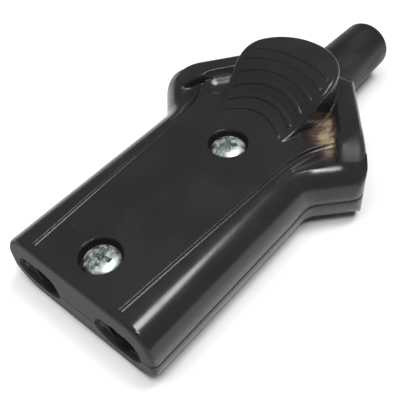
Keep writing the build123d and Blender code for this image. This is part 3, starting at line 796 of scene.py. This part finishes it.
def model_nut(low, high):
    """Hexagon nut about the upright axis, its underside at the origin, with chamfered corners and bore."""
    shape = setting("connector_screws")
    tall = high[2] - low[2]
    corner = (high[0] - low[0]) / 2
    spare, lead = shape.nut_spare, shape.nut_lead_in
    bpy.ops.object.select_all(action="DESELECT")
    bpy.ops.mesh.primitive_cylinder_add(
        vertices=6, radius=corner, depth=tall, location=(0, 0, tall / 2), rotation=(0, 0, math.pi / 6)
    )
    nut = bpy.context.active_object
    nut.name = "front_hex_nut"
    bpy.ops.object.transform_apply(location=True, rotation=True, scale=True)
    bulge = corner + spare
    rise = shape.nut_chamfer + spare / shape.nut_slope
    slim = bulge - shape.nut_slope * (rise + spare)
    rounding = [(-spare, slim), (rise, bulge), (tall - rise, bulge), (tall + spare, slim)]
    blank = start_ring("nut_blank", BLANK_POINTS, *rounding[0], filled=True)
    raise_rings(rounding)
    close_piece(blank, CUT_SHARP)
    combine(nut, blank, "INTERSECT")
    wide = shape.nut_bore + 2 * lead
    drill = [(-lead, wide), (lead, shape.nut_bore), (tall - lead, shape.nut_bore), (tall + lead, wide)]
    bore = start_ring("nut_bore", BORE_POINTS, *drill[0], filled=True)
    raise_rings(drill)
    close_piece(bore, CUT_SHARP)
    combine(nut, bore, "DIFFERENCE")
    clean_cuts(nut)
    return nut


class CONNECTOR_OT_casing(bpy.types.Operator):
    """Finish the two shells"""

    bl_idname = "connector.casing"
    bl_label = "Finish Casing"

    def execute(self, context):
        material = casing_material()
        for node in ("upper_shell", "lower_shell"):
            dress(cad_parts[node], material)
        return {"FINISHED"}


class CONNECTOR_OT_sleeve(bpy.types.Operator):
    """Model the rubber cord sleeve"""

    bl_idname = "connector.sleeve"
    bl_label = "Model Sleeve"

    def execute(self, context):
        sleeve = model_sleeve(*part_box("cord_sleeve"))
        stand_for(sleeve, "cord_sleeve", rubber_material())
        return {"FINISHED"}


class CONNECTOR_OT_fasteners(bpy.types.Operator):
    """Model the casing screws and nuts, and finish the clamp screws"""

    bl_idname = "connector.fasteners"
    bl_label = "Model Fasteners"

    def execute(self, context):
        finish = setting("connector_metal")
        shape = setting("connector_screws")
        plated = metal_material(
            "zinc_plating", finish.zinc, finish.tarnish,
            finish.zinc_gloss, finish.tarnish_gloss, finish.tarnish_metal,
        )
        turns = {"front": shape.front_turn, "rear": shape.rear_turn}
        front_screw = model_screw(*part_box("front_casing_screw"))
        front_nut = model_nut(*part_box("front_casing_nut"))
        screws = {"front": front_screw, "rear": copy_piece(front_screw, "rear_pan_screw")}
        nuts = {"front": front_nut, "rear": copy_piece(front_nut, "rear_hex_nut")}
        for end, turn in turns.items():
            low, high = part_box(f"{end}_casing_screw")
            middle = ((low[0] + high[0]) / 2, (low[1] + high[1]) / 2)
            put(screws[end], (*middle, high[2]), turn)
            stand_for(screws[end], f"{end}_casing_screw", plated)
            low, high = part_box(f"{end}_casing_nut")
            put(nuts[end], (*middle, low[2]))
            stand_for(nuts[end], f"{end}_casing_nut", plated)
        for hand in ("left", "right"):
            dress(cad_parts[f"{hand}_clamp_screw"], plated)
        return {"FINISHED"}


class CONNECTOR_OT_contacts(bpy.types.Operator):
    """Finish the contacts, springs, terminal screws and clamp"""

    bl_idname = "connector.contacts"
    bl_label = "Finish Contacts"

    def execute(self, context):
        finish = setting("connector_metal")
        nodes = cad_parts
        brass = metal_material(
            "turned_brass", finish.brass, finish.dull_brass, finish.brass_gloss, finish.dull_brass_gloss
        )
        steel = metal_material(
            "spring_steel", finish.spring, finish.dull_spring, finish.spring_gloss, finish.dull_spring_gloss
        )
        for pole in ("live", "neutral"):
            dress(nodes[f"{pole}_contact"], brass)
            dress(nodes[f"{pole}_terminal_screw"], brass)
            dress(nodes[f"{pole}_contact_spring"], steel)
        for hand in ("left", "right"):
            dress(nodes[f"{hand}_clamp_insert"], brass)
        dress(nodes["cord_clamp_strap"], fibre_material())
        return {"FINISHED"}


class CONNECTOR_OT_stage(bpy.types.Operator):
    """Set the floor, the lamps and the camera"""

    bl_idname = "connector.stage"
    bl_label = "Set Stage"

    def execute(self, context):
        look = setting("connector_stage")
        context.scene.view_settings.view_transform = "Standard"
        self.lay_floor(look)
        self.dim_room(look)
        self.hang_lamps(look)
        self.set_camera(look)
        return {"FINISHED"}

    def lay_floor(self, look):
        """Plain pale floor under the connector."""
        bpy.ops.object.select_all(action="DESELECT")
        bpy.ops.mesh.primitive_plane_add(size=FLOOR_SIZE, location=(0, 0, 0))
        floor = bpy.context.active_object
        floor.name = "floor"
        material, _, shader = new_material("pale_floor")
        shader.inputs["Base Color"].default_value = (*look.floor, 1.0)
        shader.inputs["Roughness"].default_value = FLOOR_ROUGHNESS
        dress(floor, material)

    def dim_room(self, look):
        """Even dim light from all round."""
        world = bpy.data.worlds.new("room")
        world.use_nodes = True
        background = world.node_tree.nodes["Background"]
        background.inputs["Color"].default_value = (1.0, 1.0, 1.0, 1.0)
        background.inputs["Strength"].default_value = look.room
        bpy.context.scene.world = world

    def hang_lamps(self, look):
        """Soft key lamp over the right side, broad fill lamp overhead and a small lamp at the side."""
        self.add_lamp("key", look.key_place, look.aim, look.key_width, look.key_power)
        fill = self.add_lamp("fill", look.fill_place, look.aim, look.fill_width, look.fill_power)
        fill.visible_glossy = False
        self.add_lamp("side", look.side_place, look.aim, look.side_width, look.side_power)

    def add_lamp(self, name, place, target, width, watts):
        """Soft round lamp aimed at a point."""
        lamp = bpy.data.lights.new(name, "AREA")
        lamp.shape = "DISK"
        lamp.size = width
        lamp.energy = watts
        item = bpy.data.objects.new(name, lamp)
        bpy.context.scene.collection.objects.link(item)
        aim = (Vector(place) - Vector(target)).to_track_quat("Z", "Y")
        item.matrix_world = Matrix.Translation(Vector(place)) @ aim.to_matrix().to_4x4()
        item.visible_camera = False
        return item

    def set_camera(self, look):
        """Camera at the viewing angle of the picture."""
        camera = bpy.data.cameras.new("camera")
        camera.lens = look.lens
        camera.sensor_width = SENSOR_WIDTH
        camera.clip_start = NEAREST_VIEW
        viewer = bpy.data.objects.new("camera", camera)
        bpy.context.scene.collection.objects.link(viewer)
        place = Vector(look.camera_place)
        back = (place - Vector(look.camera_target)).normalized()
        aim = back.to_track_quat("Z", "Y").to_matrix() @ Matrix.Rotation(look.camera_roll, 3, "Z")
        viewer.matrix_world = Matrix.Translation(place) @ aim.to_4x4()
        bpy.context.scene.camera = viewer


class CONNECTOR_PT_panel(bpy.types.Panel):
    """Steps that finish the connector"""

    bl_label = "Connector"
    bl_idname = "CONNECTOR_PT_panel"
    bl_space_type = "VIEW_3D"
    bl_region_type = "UI"
    bl_category = "Connector"

    def draw(self, context):
        for step in STEPS:
            self.layout.operator(step.bl_idname)


SETTINGS = {
    "connector_casing": CasingFinish,
    "connector_sleeve": SleeveFinish,
    "connector_screws": ScrewShape,
    "connector_metal": MetalFinish,
    "connector_stage": StageLook,
}
STEPS = (
    CONNECTOR_OT_casing,
    CONNECTOR_OT_sleeve,
    CONNECTOR_OT_fasteners,
    CONNECTOR_OT_contacts,
    CONNECTOR_OT_stage,
)


def register():
    for name, group in SETTINGS.items():
        bpy.utils.register_class(group)
        setattr(bpy.types.Scene, name, bpy.props.PointerProperty(type=group))
    for step in STEPS:
        bpy.utils.register_class(step)
    bpy.utils.register_class(CONNECTOR_PT_panel)


def unregister():
    bpy.utils.unregister_class(CONNECTOR_PT_panel)
    for step in reversed(STEPS):
        bpy.utils.unregister_class(step)
    for name, group in SETTINGS.items():
        delattr(bpy.types.Scene, name)
        bpy.utils.unregister_class(group)


def main():
    register()
    build_wear_group()
    build_grain_group()
    build_corner_group()
    build_relief_group()
    bpy.ops.connector.casing()
    bpy.ops.connector.sleeve()
    bpy.ops.connector.fasteners()
    bpy.ops.connector.contacts()
    bpy.ops.connector.stage()


if __name__ == "__main__":
    main()
